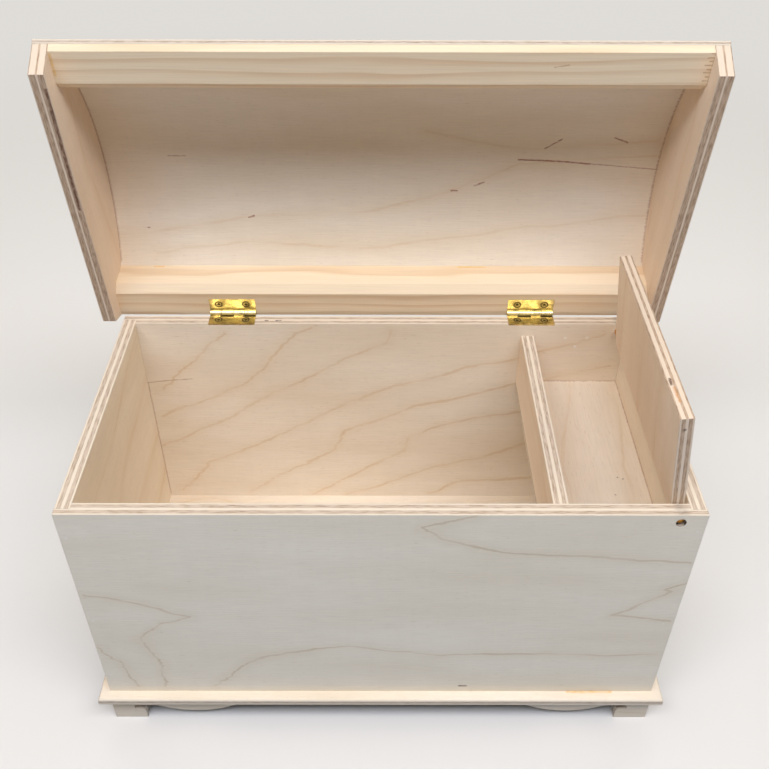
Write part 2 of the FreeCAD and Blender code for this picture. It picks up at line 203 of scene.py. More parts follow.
TONE_SIZE = (140, 30, 1)                 # mm along, across and through the grain
SHIMMER_SIZE = (7, 40, 1)
FIBRE_SIZE = (14, 0.8, 1)                # real fibres are far finer; this is as fine as the picture shows
PORE_SIZE = (4, 0.6, 1)                  # drawn a few times too wide, as above
TONE_RANGE = {"From Min": 0.35, "From Max": 0.65}
SHIMMER_SHADE = 0.008                    # share by which the brightness swings
FIBRE_SHADE = 0.03
PORE_RANGE = {"From Min": 0.64, "From Max": 0.8, "To Max": 0.35}    # few, and never at full strength
VENEER_ROUGHNESS = {"To Min": 0.58, "To Max": 0.7}

VENEER, given = new_group(
    "birch_veneer",
    {"Place": "Vector", "Growth": "Float", "Light": "Color", "Deep": "Color", "Line": "Color"},
    {"Colour": "Color", "Height": "Float", "Roughness": "Float"},
)
tone = clouds(VENEER, given["Place"], TONE_SIZE, 3)
tone = add(VENEER, "MapRange", {"Value": tone, **TONE_RANGE})
colour = add(VENEER, "Mix", {"Factor": tone, "A": given["Light"], "B": given["Deep"]}, data_type="RGBA")
fibre = clouds(VENEER, given["Place"], FIBRE_SIZE, 3)
shimmer = clouds(VENEER, given["Place"], SHIMMER_SIZE, 2)
for swing, shade in ((SHIMMER_SHADE, shimmer), (FIBRE_SHADE, fibre)):
    limits = {**CLOUD_RANGE, "To Min": 1 - swing, "To Max": 1 + swing}
    shade = add(VENEER, "MapRange", {"Value": shade, **limits})
    colour = add(VENEER, "VectorMath", {0: colour, "Scale": shade}, operation="SCALE")
pores = clouds(VENEER, given["Place"], PORE_SIZE, 1)
pores = add(VENEER, "MapRange", {"Value": pores, **PORE_RANGE})
colour = add(VENEER, "Mix", {"Factor": pores, "A": colour, "B": linear(BIRCH_PORE)}, data_type="RGBA")
colour = add(VENEER, "Mix", {"Factor": given["Growth"], "A": colour, "B": given["Line"]}, data_type="RGBA")
height = add(VENEER, "Math", {0: fibre, 1: pores}, operation="SUBTRACT")
roughness = add(VENEER, "MapRange", {"Value": fibre, **CLOUD_RANGE, **VENEER_ROUGHNESS})
add(VENEER, "NodeGroupOutput", {"Colour": colour, "Height": height, "Roughness": roughness})

# The sawn edge of birch plywood: thin pale plies cut along the grain, between thicker ones cut across it.
# The cross-cut plies give the eye a pinkish grey full of fine darker dashes.

# Plies cut along the grain, plies cut across it, and the dashes there. The lid's ends and the till lid are
# painted browner, standing in for the warm shade they sit in inside the lid and chest.
PLY_COLOURS = ("#ECDEC9", "#D5C2AD", "#AF9881")
WARM_SHADE_PLY_COLOURS = ("#E8D5BE", "#CBAF94", "#9C7D62")
DASH_SIZE = (5, 5, 0.45)                 # mm along, across and through
DASH_RANGE = {"From Min": 0.42, "From Max": 0.68}
PALE_DASHES = 0.15                       # how much of the dashes shows on the pale plies
PLY_BLUR = 0.02                          # share of the thickness
# where the cross plies begin and end, as shares of the thickness from its middle, and the plies' colours
FIVE_PLY = (0.1, 0.38, PLY_COLOURS)
WARM_SHADE_FIVE_PLY = (0.1, 0.38, WARM_SHADE_PLY_COLOURS)
THREE_PLY = (-1.0, 0.22, PLY_COLOURS)
SANDED_FIVE_PLY = (0.06, 0.45, WARM_SHADE_PLY_COLOURS)       # with the face plies sanded nearly through

PLY_EDGE, given = new_group(
    "plywood_edge",
    {
        "Place": "Vector", "Share": "Float", "Inner": "Float", "Outer": "Float", "Endwise": "Float",
        "Pale": "Color", "Cross": "Color", "Dashes": "Color",
    },
    {"Colour": "Color", "Height": "Float"},
)
dashes = clouds(PLY_EDGE, given["Place"], DASH_SIZE, 3)
middle = add(PLY_EDGE, "Math", {0: given["Share"], 1: 0.5}, operation="SUBTRACT")
middle = add(PLY_EDGE, "Math", {0: middle}, operation="ABSOLUTE")
beyond_inner = add(PLY_EDGE, "Math", {0: middle, 1: given["Inner"]}, operation="SUBTRACT")
within_outer = add(PLY_EDGE, "Math", {0: given["Outer"], 1: middle}, operation="SUBTRACT")
within = add(PLY_EDGE, "Math", {0: beyond_inner, 1: within_outer}, operation="MINIMUM")
limits = {"From Min": -PLY_BLUR, "From Max": PLY_BLUR}
across = add(PLY_EDGE, "MapRange", {"Value": within, **limits}, interpolation_type="SMOOTHSTEP")
swapped = add(PLY_EDGE, "Math", {0: 1.0, 1: across}, operation="SUBTRACT")
across = add(PLY_EDGE, "Mix", {"Factor": given["Endwise"], "A": across, "B": swapped})
speckle = add(PLY_EDGE, "MapRange", {"Value": dashes, **DASH_RANGE})
colours = {"A": given["Cross"], "B": given["Dashes"]}
deep = add(PLY_EDGE, "Mix", {"Factor": speckle, **colours}, data_type="RGBA")
faint = add(PLY_EDGE, "Math", {0: speckle, 1: PALE_DASHES}, operation="MULTIPLY")
colours = {"A": given["Pale"], "B": given["Cross"]}
pale = add(PLY_EDGE, "Mix", {"Factor": faint, **colours}, data_type="RGBA")
colour = add(PLY_EDGE, "Mix", {"Factor": across, "A": pale, "B": deep}, data_type="RGBA")
add(PLY_EDGE, "NodeGroupOutput", {"Colour": colour, "Height": dashes})

FACING = 0.7                             # how squarely a surface faces an axis to count as facing it
SHEET_THICK = 2.0                        # mm, the bent sheet over the lid


def flat_place(tree, node, axes):
    """Where a point of a flat panel lies, with its lid shut.

    Gives (along, across, through) in mm from the panel's lowest corner, its thickness,
    and how its surface faces (along, through).
    """
    spots = shut_spots(node)
    order = ["xyz".index(axis) for axis in axes]
    place = shut_place(tree, node, "Object", lowest(spots))
    normal = shut_place(tree, node, "Normal", None)
    thick = highest(spots)[order[2]] - lowest(spots)[order[2]]
    return [place[axis] for axis in order], thick, [normal[order[0]], normal[order[2]]]


def bent_place(tree, node):
    """As flat_place, for the sheet that is bent over the lid's ends.

    Across runs round the bend from its crown.
    """
    spots = shut_spots(node)
    low, high = lowest(spots), highest(spots)
    edge = max(spots, key=lambda spot: spot.y)
    middle = (low[1] + high[1]) / 2
    half = edge.y - middle
    rise = high[2] - edge.z
    radius = (half * half + rise * rise) / (2 * rise)
    along, sideways, upward = shut_place(tree, node, "Object", (low[0], middle, high[2] - radius))
    angle = add(tree, "Math", {0: sideways, 1: upward}, operation="ARCTAN2")
    across = add(tree, "Math", {0: angle, 1: radius}, operation="MULTIPLY").outputs[0]
    spoke = add(tree, "CombineXYZ", {"Y": sideways, "Z": upward})
    length = add(tree, "VectorMath", {0: spoke}, operation="LENGTH").outputs["Value"]
    through = add(tree, "Math", {0: length, 1: radius - SHEET_THICK}, operation="SUBTRACT").outputs[0]
    normal = shut_place(tree, node, "Normal", None)
    facing = add(tree, "CombineXYZ", {"Y": normal["Y"], "Z": normal["Z"]})
    outward = add(tree, "VectorMath", {0: spoke}, operation="NORMALIZE")
    outward = add(tree, "VectorMath", {0: outward, 1: facing}, operation="DOT_PRODUCT").outputs["Value"]
    return [along, across, through], SHEET_THICK, [normal["X"], outward]


WAVERS = (
    # how a growth line departs from its drawn course: size of the bends and how far they reach, in mm
    ((6, 2.5, 1), (2.4, 0.6, 0)),
    ((34, 22, 1), (5.0, 3.4, 0)),
)
WARP_SIZE = (80, 40, 1)                  # mm, the slow wandering of the growth lines
PATCH_SIZE = (30, 12, 1)                 # mm, where a growth line is stronger or weaker
PATCH_RANGE = {"From Min": 0.3, "From Max": 0.6}
WEAKENING = 3                            # how many times weaker a line is where it is weakest
LINE_CORE = 0.2                          # mm from its middle, where a line is full
# how strongly growth lines show, and how many mm from its middle a line has faded
LINES_SHOW = {"front_panel": (0.36, 1.1), "back_panel": (0.31, 1.5)}
FAINT_LINES = (0.2, 1.5)                 # on the other pieces
BAND = 7.0                               # mm, how far the wood is a little deeper beside a growth line
BAND_STRENGTH = 0.07


def growth(tree, spot, shown, rings, lines):
    """How strongly a growth line shows, from its (strength, fade) in shown.

    The lines are drawn one by one, or without them rings gives (gap in mm, slope, wander in mm) of even
    ones.
    """
    stepped = add(tree, "VectorMath", {0: spot, 1: (1, 1, 0)}, operation="MULTIPLY")
    for size, reach in WAVERS:
        stepped = waver(tree, stepped, spot, size, reach)
    if lines:
        distance = distance_from(tree, stepped, lines)
    else:
        gap, slope, wander = rings
        slow = clouds(tree, spot, WARP_SIZE, 1)
        uphill = (-slope / gap, 1 / gap, 0)
        level = add(tree, "VectorMath", {0: stepped, 1: uphill}, operation="DOT_PRODUCT")
        feeds = {0: slow, 1: 2 * wander / gap, 2: level.outputs["Value"]}
        level = add(tree, "Math", feeds, operation="MULTIPLY_ADD")
        swing = add(tree, "Math", {0: level, 1: 0.5}, operation="PINGPONG")
        distance = add(tree, "Math", {0: swing, 1: gap / math.hypot(1, slope)}, operation="MULTIPLY")
    strength, fade = shown
    patches = clouds(tree, spot, PATCH_SIZE, 2)
    limits = {"To Min": strength / WEAKENING, "To Max": strength}
    patches = add(tree, "MapRange", {"Value": patches, **PATCH_RANGE, **limits})
    feeds = {"Value": distance, "From Min": fade, "From Max": LINE_CORE, "To Max": patches}
    line = add(tree, "MapRange", feeds, interpolation_type="SMOOTHSTEP")
    feeds = {"Value": distance, "From Min": BAND, "From Max": 0.0, "To Max": BAND_STRENGTH}
    band = add(tree, "MapRange", feeds, interpolation_type="SMOOTHSTEP")
    return add(tree, "Math", {0: line, 1: band}, operation="MAXIMUM")


RAG_SIZE = (3, 1.2, 1.2)                 # mm, the unevenness of small marks
RAG = (0.8, 0.35, 0.35)                  # mm, how far their edges stray
MARK_RANGE = {"From Min": 0.35, "From Max": 0.55}
MARK_WEAKENING = 2                       # how many times weaker a mark is where it is weakest
MARK_FADED = 1.6                         # half widths from its middle, where a mark has faded
MARK_FULL = 0.4                          # and where it is full
WOOD_RELIEF = {"Strength": 0.1, "Distance": 0.2 * MM}
WOOD_SPECULAR = 0.35                     # bare sanded wood is duller than a finished one


def sawn_wood(tree, colour, roughness, height):
    """The surface of bare wood with softened arrises."""
    softened = add(tree, "Bevel", {"Radius": ARRIS * MM}, samples=ARRIS_SAMPLES)
    bump = add(tree, "Bump", {**WOOD_RELIEF, "Height": height, "Normal": softened})
    feeds = {"Base Color": colour, "Roughness": roughness, "Normal": bump}
    feeds["Specular IOR Level"] = WOOD_SPECULAR
    add(tree, "OutputMaterial", {"Surface": add(tree, "BsdfPrincipled", feeds)})


def marked(tree, colour, place, marks):
    """Ragged marks over a colour, each (colour, strength, half width in mm, lines)."""
    if marks:
        ragged = waver(tree, place, place, RAG_SIZE, RAG)
        uneven = clouds(tree, place, RAG_SIZE, 2)
    for mark_colour, strength, half_width, lines in marks:
        limits = {"To Min": strength / MARK_WEAKENING, "To Max": strength}
        most = add(tree, "MapRange", {"Value": uneven, **MARK_RANGE, **limits})
        limits = {"From Min": half_width * MARK_FADED, "From Max": half_width * MARK_FULL, "To Max": most}
        near = distance_from(tree, ragged, lines)
        near = add(tree, "MapRange", {"Value": near, **limits}, interpolation_type="SMOOTHSTEP")
        colour = add(tree, "Mix", {"Factor": near, "A": colour, "B": linear(mark_colour)}, data_type="RGBA")
    return colour


def birch_plywood(node, place_of, layers, seed, rings, lines, marks, edge_shade_marks):
    """Birch plywood for one piece; marks as in marked, and edge_shade_marks, painted shade, only on its sawn
    edges and in its holes.
    """
    material, tree = new_material(f"birch_plywood_{node}")
    (along, across, through), thick, facing = place_of(tree)
    spot = add(tree, "CombineXYZ", {"X": along, "Y": across, "Z": seed})
    place = add(tree, "CombineXYZ", {"X": along, "Y": across, "Z": through})
    facing = [add(tree, "Math", {0: part}, operation="ABSOLUTE") for part in facing]
    endwise = add(tree, "Math", {0: facing[0], 1: FACING}, operation="GREATER_THAN")
    sawn = add(tree, "Math", {0: facing[1], 1: FACING}, operation="LESS_THAN")
    shown = LINES_SHOW.get(node, FAINT_LINES)
    feeds = {"Place": spot, "Growth": growth(tree, spot, shown, rings, lines)}
    feeds.update(zip(("Light", "Deep", "Line"), [linear(tone) for tone in WOODS.get(node, BIRCH)]))
    veneer = add(tree, "Group", feeds, node_tree=VENEER)
    share = add(tree, "Math", {0: through, 1: thick}, operation="DIVIDE")
    inner, outer, ply_colours = layers
    feeds = {"Place": place, "Share": share, "Inner": inner, "Outer": outer, "Endwise": endwise}
    feeds.update(zip(("Pale", "Cross", "Dashes"), [linear(tone) for tone in ply_colours]))
    edge = add(tree, "Group", feeds, node_tree=PLY_EDGE)
    colours = {"A": veneer.outputs["Colour"], "B": marked(tree, edge.outputs["Colour"], place, edge_shade_marks)}
    colour = add(tree, "Mix", {"Factor": sawn, **colours}, data_type="RGBA")
    colour = marked(tree, colour, place, marks)
    heights = {"A": veneer.outputs["Height"], "B": edge.outputs["Height"]}
    height = add(tree, "Mix", {"Factor": sawn, **heights})
    sawn_wood(tree, colour, veneer.outputs["Roughness"], height)
    return material


# Growth lines of the panels that are seen most, in mm along and up from the panel's lowest corner

FRONT_LINES = (
    ((2, 80), (19, 76), (35, 71), (51, 65), (35, 59), (23, 47), (27, 32), (31, 22), (29, 4)),
    ((57, 4), (65, 16), (74, 25), (93, 34), (127, 40), (150, 37), (174, 32), (196, 34), (283, 33)),
    ((185, 136), (171, 132), (162, 128), (172, 120), (191, 115), (208, 111), (232, 110), (284, 106)),
    ((286, 90), (276, 85), (280, 83), (271, 77), (253, 66), (264, 65), (282, 61)),
    ((2, 38), (11, 25), (14, 4)),
)
BACK_LINES = (
    ((14, 90), (35, 111), (55, 131)),
    ((13, 69), (66, 94), (79, 111), (95, 129), (104, 133)),
    ((8, 44), (50, 67), (87, 90), (117, 109), (145, 123), (147, 132)),
    ((15, 6), (37, 29), (85, 56), (128, 82), (189, 105), (221, 113), (266, 130)),
    ((56, 3), (98, 32), (113, 40), (121, 56), (161, 76), (221, 94), (272, 106)),
    ((99, 2), (158, 41), (160, 52), (172, 59), (221, 72), (274, 81)),
    ((122, 2), (169, 23), (226, 45), (276, 60)),
    ((172, 2), (195, 13), (235, 17), (278, 24)),
)

# Small marks, in mm along, across and through from the panel's lowest corner

PIN_KNOT = "#6B4630"
FILLER = "#FAF6EE"
NAIL_HOLE = "#4A3B32"
VOID = "#5E3A26"
RESIN = "#CF9458"
GLUE = "#E8B64C"
# dark lines at joints: the joint itself, darkened further by painted contact shadow
SEAM_AND_SHADOW = "#A66A38"
# painted shade on the walls of the pin holes
PIN_HOLE_SHADE = "#33261D"


def dots(*places):
    """Marks that are single points."""
    return [(place, place) for place in places]


FRONT_MARKS = (
    (PIN_KNOT, 0.85, 0.6, [((183.5, 5, 0), (187, 5, 0))]),
    (
        FILLER, 0.6, 0.6,
        dots((282, 126, 0), (280, 59, 0), (281, 14, 0), (3, 121, 0), (3, 61, 0), (3, 15, 0)),
    ),
    (GLUE, 0.5, 0.5, [((240, 0, 0), (264, 0, 0))]),
)
BASE_MARKS = ((GLUE, 0.6, 0.7, [((246, 5.2, 4), (256, 5.0, 4), (269, 5.3, 4))]),)
BACK_MARKS = (
    # joint lines on the back panel, with painted contact shadow
    (SEAM_AND_SHADOW, 0.5, 0.35, [((6, 94, 0), (20, 96, 0), (33, 97, 0))]),
    (SEAM_AND_SHADOW, 0.45, 0.4, [((7.2, 94, 0), (7.2, 2, 0))]),
    (FILLER, 0.8, 0.8, dots((257, 127, 0), (245, 127, 0), (251, 121, 0))),
    (
        NAIL_HOLE, 0.9, 0.6,
        [((78.5, 136.4, 2.8), (79.5, 136.4, 2.8)), ((84.5, 136.4, 2.8), (86.5, 136.4, 2.8))],
    ),
)
TILL_FLOOR_MARKS = (
    (PIN_KNOT, 0.8, 0.45, dots((55.7, 43.6, 3.2), (54.8, 46.3, 3.2), (43.4, 40.2, 3.2))),
    # joint lines along the till floor's back and right edges, with painted contact shadow
    (SEAM_AND_SHADOW, 0.5, 0.4, [((133.8, 7, 3.2), (133.8, 57.6, 3.2), (0, 57.6, 3.2))]),
)
TILL_LID_MARKS = (
    (NAIL_HOLE, 0.9, 0.7, dots((5.9, 0, 2.2))),
    (VOID, 0.9, 0.6, [((0, 22, 1.7), (0, 26, 1.9))]),
    (RESIN, 0.7, 0.6, [((0, 11, 2.6), (0, 20, 2.3))]),
)
# Painted shade on the wall of the till lid's pin hole, through the panel at the pivot
pivot = Vector(JOINTS["till_lid"]["pos_m"]) / MM - Vector(lowest(shut_spots("front_panel")))
PIN_HOLE_SHADE_MARKS = ((PIN_HOLE_SHADE, 1.0, 4.0, [((pivot.x, pivot.z, 0), (pivot.x, pivot.z, 7))]),)
LID_LEFT_MARKS = ((VOID, 0.9, 0.7, [((14, 0, 5.8), (78, 0, 5.2))]),)

PANELS = {
    # node: (axes along, across and through), layers, (gap, slope, wander) of growth rings, lines, marks
    "front_panel": ("xzy", FIVE_PLY, None, FRONT_LINES, FRONT_MARKS),
    "back_panel": ("xzy", FIVE_PLY, None, BACK_LINES, BACK_MARKS),
    "left_end_panel": ("yzx", FIVE_PLY, (34, 0.1, 22), (), ()),
    "right_end_panel": ("yzx", FIVE_PLY, (31, -0.15, 24), (), ()),
    "base_board": ("xyz", THREE_PLY, (38, 0.05, 20), (), BASE_MARKS),
    "front_apron": ("xzy", FIVE_PLY, (30, 0.06, 14), (), ()),
    "back_apron": ("xzy", FIVE_PLY, (30, -0.05, 14), (), ()),
    "left_apron": ("yzx", FIVE_PLY, (30, 0.08, 14), (), ()),
    "right_apron": ("yzx", FIVE_PLY, (30, 0.04, 14), (), ()),
    "till_floor": ("yxz", THREE_PLY, (26, 0.12, 12), (), TILL_FLOOR_MARKS),
    "till_side": ("yzx", FIVE_PLY, (36, 0.1, 14), (), ()),
    "till_lid": ("xyz", WARM_SHADE_FIVE_PLY, (40, 0.08, 12), (), TILL_LID_MARKS),
    "lid_left_end": ("yzx", SANDED_FIVE_PLY, (33, 0.12, 18), (), LID_LEFT_MARKS),
    "lid_right_end": ("yzx", SANDED_FIVE_PLY, (35, -0.1, 18), (), ()),
}
SEED_STEP = 7.3                          # mm through the noise, so that no two panels show the same clouds
SHEET_SEED = 113.0

for number, (node, (axes, layers, rings, lines, marks)) in enumerate(PANELS.items()):
    place_of = lambda tree: flat_place(tree, node, axes)
    # the front and back panels get painted shade in their pin holes
    holes = PIN_HOLE_SHADE_MARKS if node in ("front_panel", "back_panel") else ()
    dress(node, birch_plywood(node, place_of, layers, number * SEED_STEP, rings, lines, marks, holes))

# The bent sheet: along from its left end, and round the bend from the crown to the back

SHEET_LINES = (
    ((8, 45), (82, 35), (114, 33), (145, 32), (177, 24), (192, 19), (225, 2), (252, 1), (305, -4)),
    ((26, 55), (73, 49), (153, 53), (201, 45), (233, 40), (298, 33)),
    ((175, -18), (221, -8), (250, -8), (294, -13)),
)
MINERAL_STREAK = "#9A4E26"
SHEET_MARKS = (
    (
        MINERAL_STREAK, 0.55, 0.3,
        [((224, 0, 0), (246, 1, 0), (267, 3, 0), (299, 6, 0)), ((41, -2, 0), (50, -2, 0))],
    ),
    (
        MINERAL_STREAK, 0.7, 0.45,
        [
            ((224, 0, 0), (246, 1, 0), (262, 2.6, 0)), ((237, -7, 0), (245, -13, 0)),
            ((272, -14, 0), (279, -11, 0)), ((190, 19, 0), (193, 19, 0)), ((202, 16, 0), (207, 14, 0)),
            ((80, 35, 0), (83, 34, 0)), ((24, 41, 0), (25, 41, 0)),
        ],
    ),
    # joint lines where the sheet meets the lid's ends, with painted contact shadow
    (SEAM_AND_SHADOW, 0.45, 0.8, [((7, -60, 0), (7, 60, 0)), ((298, -60, 0), (298, 60, 0))]),
)
place_of = lambda tree: bent_place(tree, "lid_top_sheet")
sheet = birch_plywood("lid_top_sheet", place_of, THREE_PLY, SHEET_SEED, None, SHEET_LINES, SHEET_MARKS, ())
dress("lid_top_sheet", sheet)

# Pine, planed: a warm pale yellow with straight soft bands, each a little browner towards its outer side

PINE_EARLY = "#F6DFBE"
PINE_LATE = "#DDB688"
RING_GAP = 5.6                           # mm
PITH = (0, 70, 34)                       # mm from the rail's lowest corner to the heart of the tree
LATE_START = 0.35                        # shares of a ring, where its browner side begins and is deepest
LATE_END = 0.9
PINE_WANDER = 9.0                        # mm, how far the rings wander
PINE_WARP_SIZE = (120, 18, 18)
PINE_FIBRE_SIZE = (30, 0.8, 0.8)         # drawn a few times too wide, so that the picture shows it
PINE_FIBRE_SHADE = {"To Min": 0.95, "To Max": 1.03}
PINE_ROUGHNESS = {"To Min": 0.62, "To Max": 0.5}


def pine(node, seed, marks):
    """Planed pine for one rail; marks as in marked."""
    material, tree = new_material(f"planed_pine_{node}")
    corner = lowest(shut_spots(node))
    place = add(tree, "CombineXYZ", dict(enumerate(shut_place(tree, node, "Object", corner))))
    moved = add(tree, "VectorMath", {0: place, 1: (seed, seed, seed)}, operation="ADD")
    slow = clouds(tree, moved, PINE_WARP_SIZE, 2)
    spoke = add(tree, "VectorMath", {0: place, 1: PITH}, operation="SUBTRACT")
    spoke = add(tree, "VectorMath", {0: spoke, 1: (0, 1, 1)}, operation="MULTIPLY")
    spoke = add(tree, "VectorMath", {0: spoke}, operation="LENGTH").outputs["Value"]
    spoke = add(tree, "Math", {0: slow, 1: PINE_WANDER, 2: spoke}, operation="MULTIPLY_ADD")
    ring = add(tree, "Math", {0: spoke, 1: RING_GAP}, operation="DIVIDE")
    ring = add(tree, "Math", {0: ring}, operation="FRACT")
    limits = {"From Min": LATE_START, "From Max": LATE_END}
    late = add(tree, "MapRange", {"Value": ring, **limits}, interpolation_type="SMOOTHSTEP")
    sharp = add(tree, "MapRange", {"Value": ring, "From Min": 1.0, "From Max": LATE_END})
    late = add(tree, "Math", {0: late, 1: sharp}, operation="MULTIPLY")
    late = add(tree, "Math", {0: late, 1: slow}, operation="MULTIPLY")
    colours = {"A": linear(PINE_EARLY), "B": linear(PINE_LATE)}
    colour = add(tree, "Mix", {"Factor": late, **colours}, data_type="RGBA")
    fibres = clouds(tree, moved, PINE_FIBRE_SIZE, 3)
    shade = add(tree, "MapRange", {"Value": fibres, **CLOUD_RANGE, **PINE_FIBRE_SHADE})
    colour = add(tree, "VectorMath", {0: colour, "Scale": shade}, operation="SCALE")
    colour = marked(tree, colour, place, marks)
    roughness = add(tree, "MapRange", {"Value": late, **PINE_ROUGHNESS})
    sawn_wood(tree, colour, roughness, fibres)
    return material


# Marks on the rails, in mm from the rail's lowest corner with the lid shut

TORN_GRAIN = "#B98D62"
FRONT_RAIL = shut_spots("lid_front_rail")
RAIL_LENGTH = highest(FRONT_RAIL)[0] - lowest(FRONT_RAIL)[0]
# mm up the rail's right end, and how far in from it each tear reaches
TEARS = ((2, 1.6), (4, 2.8), (5.5, 1.5), (7.5, 3.2), (9.5, 1.8), (11, 3.0), (13, 1.6), (15, 2.4))
FRONT_RAIL_MARKS = (
    (PIN_KNOT, 0.7, 0.5, [((52, 19, 0), (56, 19, 0))]),
    (TORN_GRAIN, 0.6, 0.3, [((222, 8.5, 0), (228, 7.5, 0))]),
    (TORN_GRAIN, 0.7, 0.3, [((RAIL_LENGTH - reach, y, 0), (RAIL_LENGTH, y, 0)) for y, reach in TEARS]),
    (GLUE, 0.5, 0.6, [((0.8, 3, 0), (0.8, 13, 0))]),
)
GLUE_LINE = 18.2                         # mm up the back rail
GLUE_SPOTS = ((19, 24), (188, 203))      # mm along it
BACK_RAIL_MARKS = (
    (GLUE, 0.55, 0.6, [((start, 0, GLUE_LINE), (end, 0, GLUE_LINE)) for start, end in GLUE_SPOTS]),
)

RAILS = {
    # node: seed, marks
    "lid_front_rail": (37.0, FRONT_RAIL_MARKS),
    "lid_back_rail": (92.0, BACK_RAIL_MARKS),
}
for node, (seed, marks) in RAILS.items():
    dress(node, pine(node, seed, marks))

# Rolled brass, polished: bright yellow gold with fine buffing marks and olive tarnish in clouds

HINGE_BRASS = ("#E7D294", "#A8976B")     # bright and tarnished
PIN_BRASS = ("#E9B45C", "#B58240")       # of the till's pins, which look redder
TARNISH_SIZE = (4, 4, 4)                 # mm
BUFFING_SIZE = (6, 0.4, 0.4)
TARNISH_RANGE = {"From Min": 0.45, "From Max": 0.7}
BRASS_ROUGHNESS = {"To Min": 0.2, "To Max": 0.34}
BRASS_RELIEF = {"Strength": 0.05, "Distance": 0.1 * MM}

# Painted shade on the hinges: round the screw heads and in their middles, and painted shadow in the gaps
# below the lid's knuckles
PAINTED_SHADE_COLOUR = "#3B2E18"
LEAVES = [shut_spots(f"{side}_hinge_box_leaf") for side in ("left", "right")]
HINGES = [(lowest(leaf)[0] + highest(leaf)[0]) / 2 for leaf in LEAVES]      # mm from the chest's middle
KNUCKLE = (highest(LEAVES[0])[0] - lowest(LEAVES[0])[0]) / 4                # mm long, four to a hinge
BOX_SCREWS = shut_spots("hinge_box_screws")
SCREW_HEAD = 1.8                         # radius, mm
SCREW_SPREAD = 2 * (highest(BOX_SCREWS)[0] - SCREW_HEAD - HINGES[1])        # mm between a leaf's two screws
SCREW_LINE = (lowest(BOX_SCREWS)[1] + highest(BOX_SCREWS)[1]) / 2           # mm behind the chest's middle
GAP_SHADOW_LINE = 74.1                          # mm behind the chest's middle, below the lid's knuckles, where shadow is painted in the gaps
SCREW_RING_SHADE = {"From Min": 0.7, "From Max": 0.15, "To Max": 0.88}    # painted shade, by mm from the edge of a screw's head
SCREW_RECESS_SHADE = {"From Min": 1.2, "From Max": 0.6, "To Max": 0.88}   # painted shade, by mm from its middle
KNUCKLE_GAP_SHADE = {"From Min": 0.9, "From Max": 0.5, "To Max": 0.95}      # painted shadow, by mm from the line of a gap
PAINTED_SHADE_ROUGHNESS = 0.4                    # roughness added to the brass's own where shade is painted

SCREWS = dots(*[(x + side * SCREW_SPREAD / 2, SCREW_LINE) for x in HINGES for side in (-1, 1)])
KNUCKLE_GAP_SHADOWS = [
    ((x + step * KNUCKLE, GAP_SHADOW_LINE), (x + (step + 1) * KNUCKLE, GAP_SHADOW_LINE))
    for x in HINGES
    for step in (-1, 1)
]


def brass(node):
    """Polished brass for one piece, with painted shade at the screws and painted shadow below the knuckles
    of a hinge.
    """
    material, tree = new_material(f"polished_brass_{node}")
    place = add(tree, "CombineXYZ", dict(enumerate(shut_place(tree, node, "Object", (0, 0, 0)))))
    tarnish = clouds(tree, place, TARNISH_SIZE, 3)
    tarnish = add(tree, "MapRange", {"Value": tarnish, **TARNISH_RANGE})
    bright, tarnished = [linear(tone) for tone in (HINGE_BRASS if "hinge" in node else PIN_BRASS)]
    colour = add(tree, "Mix", {"Factor": tarnish, "A": bright, "B": tarnished}, data_type="RGBA")
    buffing = clouds(tree, place, BUFFING_SIZE, 2)
    roughness = add(tree, "MapRange", {"Value": buffing, **CLOUD_RANGE, **BRASS_ROUGHNESS})
    # painted shade at the screws, and on the box leaf painted shadow in the gaps below the lid's knuckles
    if "hinge" in node:
        flat = add(tree, "VectorMath", {0: place, 1: (1, 1, 0)}, operation="MULTIPLY")
        spoke = distance_from(tree, flat, SCREWS)
        ring = add(tree, "Math", {0: spoke, 1: SCREW_HEAD}, operation="SUBTRACT")
        ring = add(tree, "Math", {0: ring}, operation="ABSOLUTE")
        ring = add(tree, "MapRange", {"Value": ring, **SCREW_RING_SHADE})
        recess_shade = add(tree, "MapRange", {"Value": spoke, **SCREW_RECESS_SHADE})
        painted_shade = add(tree, "Math", {0: ring, 1: recess_shade}, operation="MAXIMUM")
        # painted shadow in the gaps below the lid's knuckles
        if "box" in node:
            gap = distance_from(tree, flat, KNUCKLE_GAP_SHADOWS)
            gap = add(tree, "MapRange", {"Value": gap, **KNUCKLE_GAP_SHADE})
            painted_shade = add(tree, "Math", {0: painted_shade, 1: gap}, operation="MAXIMUM")
        colour = add(tree, "Mix", {"Factor": painted_shade, "A": colour, "B": linear(PAINTED_SHADE_COLOUR)}, data_type="RGBA")
        feeds = {0: painted_shade, 1: PAINTED_SHADE_ROUGHNESS, 2: roughness}
        roughness = add(tree, "Math", feeds, operation="MULTIPLY_ADD")
    bump = add(tree, "Bump", {**BRASS_RELIEF, "Height": buffing})
    feeds = {"Base Color": colour, "Metallic": 1.0, "Roughness": roughness, "Normal": bump}
    add(tree, "OutputMaterial", {"Surface": add(tree, "BsdfPrincipled", feeds)})
    return material


for subpart in frame["record"]["subparts"]:
    if subpart["material_slot"] == "brass":
        dress(subpart["node"], brass(subpart["node"]))

# Matt floor paint, rolled: an even pale grey with a hardly visible change of tone and a soft shadow.
# It throws no more light back at the chest than a cool mid-grey floor would.

FLOOR_PALE = "#EAE7E2"
FLOOR_DEEP = "#E6E3DE"
FLOOR_BOUNCE = "#A0A9B5"
FLOOR_CLOUDS = 3.0                       # to a metre
FLOOR_ROUGHNESS = 0.8
FLOOR_SIZE = 6.0                         # m
FLOOR_FADE = (0.4, 1.1)                  # m from the chest, where the floor turns into the plain backdrop
BACKDROP_LEVEL = 0.9


